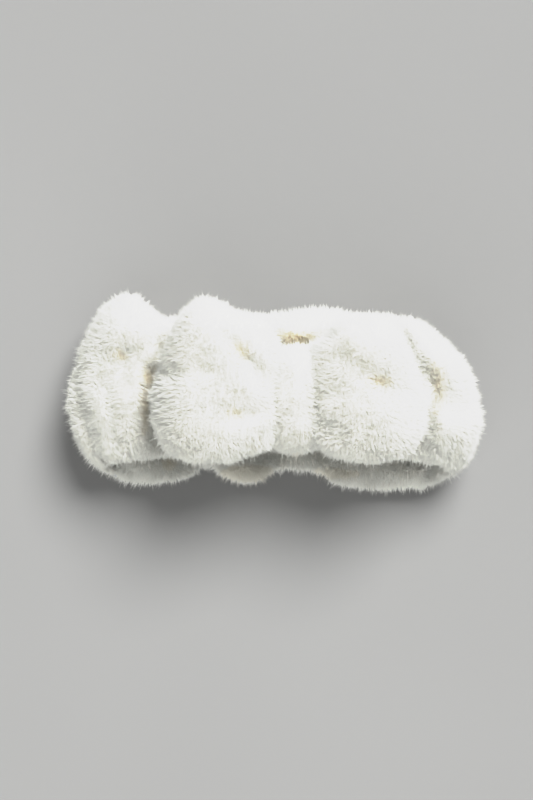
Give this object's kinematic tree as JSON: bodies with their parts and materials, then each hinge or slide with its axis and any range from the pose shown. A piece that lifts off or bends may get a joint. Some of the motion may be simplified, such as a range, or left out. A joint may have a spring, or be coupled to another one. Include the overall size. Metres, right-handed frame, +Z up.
{
  "type": "spa headband",
  "caption": "Wide gathered plush headband with an elastic ring inside and a stuffed plush bow held by a wrapped knot, lying flat.",
  "frame": {"origin": "middle of the footprint, on the surface that the rear layer lies on", "axes": "+X along the band towards the fold nearer the knot, +Y across the band towards its upper edge, +Z up, out of the face that shows the bow"},
  "size_m": [0.236, 0.111, 0.076],
  "materials": {
    "plush": "long soft pile",
    "elastic": "woven elastic",
    "thread": "matte",
    "filling": "loose fibre",
    "label": "satin tape"
  },
  "bodies": {
    "rear": {"rear_sleeve_centre": "plush", "rear_elastic": "elastic", "centre_back_seam": "thread"},
    "rear_left": {"rear_sleeve_left": "plush"},
    "rear_right": {"rear_sleeve_right": "plush"},
    "left_lower": {"side_sleeve_lower_left": "plush", "side_elastic_lower_left": "elastic", "care_label": "label"},
    "right_lower": {"side_sleeve_lower_right": "plush", "side_elastic_lower_right": "elastic"},
    "left_upper": {"side_sleeve_upper_left": "plush", "side_elastic_upper_left": "elastic"},
    "right_upper": {"side_sleeve_upper_right": "plush", "side_elastic_upper_right": "elastic"},
    "front_left": {"front_sleeve_left": "plush"},
    "front_right": {"front_sleeve_right": "plush"},
    "front": {"front_sleeve_centre": "plush", "front_elastic": "elastic", "bow_waist": "plush", "bow_waist_thread": "thread", "knot_wrap": "plush", "knot_closing_stitches": "thread"},
    "bow_left": {"bow_cover_left": "plush", "bow_filling_left": "filling"},
    "bow_right": {"bow_cover_right": "plush", "bow_filling_right": "filling"}
  },
  "joints": [
    {"name": "stretch", "type": "slide", "parent": "rear", "child": "rear_left", "axis": [-1, 0, 0], "range_m": [0, 0.02], "stiffness_N_per_m": 120},
    {"name": "stretch_rear_right", "type": "slide", "parent": "rear", "child": "rear_right", "axis": [1, 0, 0], "range_m": [0, 0.02]},
    {"name": "ring_opening", "type": "hinge", "parent": "rear_left", "child": "left_lower", "pos_m": [-0.052, 0, 0.009], "axis": [0, 1, 0], "range_deg": [0, 62]},
    {"name": "left_fold", "type": "hinge", "parent": "left_lower", "child": "left_upper", "pos_m": [-0.109, 0, 0.021], "axis": [0, 1, 0], "range_deg": [-124, 0]},
    {"name": "left_front_bend", "type": "hinge", "parent": "left_upper", "child": "front_left", "pos_m": [-0.052, 0, 0.033], "axis": [0, 1, 0], "range_deg": [0, 62]},
    {"name": "stretch_front_left", "type": "slide", "parent": "front_left", "child": "front", "axis": [1, 0, 0], "range_m": [0, 0.02]},
    {"name": "right_rear_bend", "type": "hinge", "parent": "rear_right", "child": "right_lower", "pos_m": [0.052, 0, 0.009], "axis": [0, -1, 0], "range_deg": [0, 62]},
    {"name": "right_fold", "type": "hinge", "parent": "right_lower", "child": "right_upper", "pos_m": [0.109, 0, 0.021], "axis": [0, -1, 0], "range_deg": [-124, 0]},
    {"name": "right_front_bend", "type": "hinge", "parent": "right_upper", "child": "front_right", "pos_m": [0.052, 0, 0.033], "axis": [0, -1, 0], "range_deg": [0, 62]},
    {"name": "left_lobe_lift", "type": "hinge", "parent": "front", "child": "bow_left", "pos_m": [-0.0095, 0, 0.053], "axis": [0, 1, 0], "range_deg": [0, 50]},
    {"name": "right_lobe_lift", "type": "hinge", "parent": "front", "child": "bow_right", "pos_m": [0.0375, 0, 0.053], "axis": [0, -1, 0], "range_deg": [0, 50]}
  ],
  "couplings": [
    {"joint": "stretch_rear_right", "follows": "stretch", "ratio": 1},
    {"joint": "stretch_front_left", "follows": "stretch", "ratio": 1},
    {"joint": "left_fold", "follows": "ring_opening", "ratio": -2},
    {"joint": "left_front_bend", "follows": "ring_opening", "ratio": 1},
    {"joint": "right_rear_bend", "follows": "ring_opening", "ratio": 1},
    {"joint": "right_fold", "follows": "ring_opening", "ratio": -2},
    {"joint": "right_front_bend", "follows": "ring_opening", "ratio": 1}
  ]
}
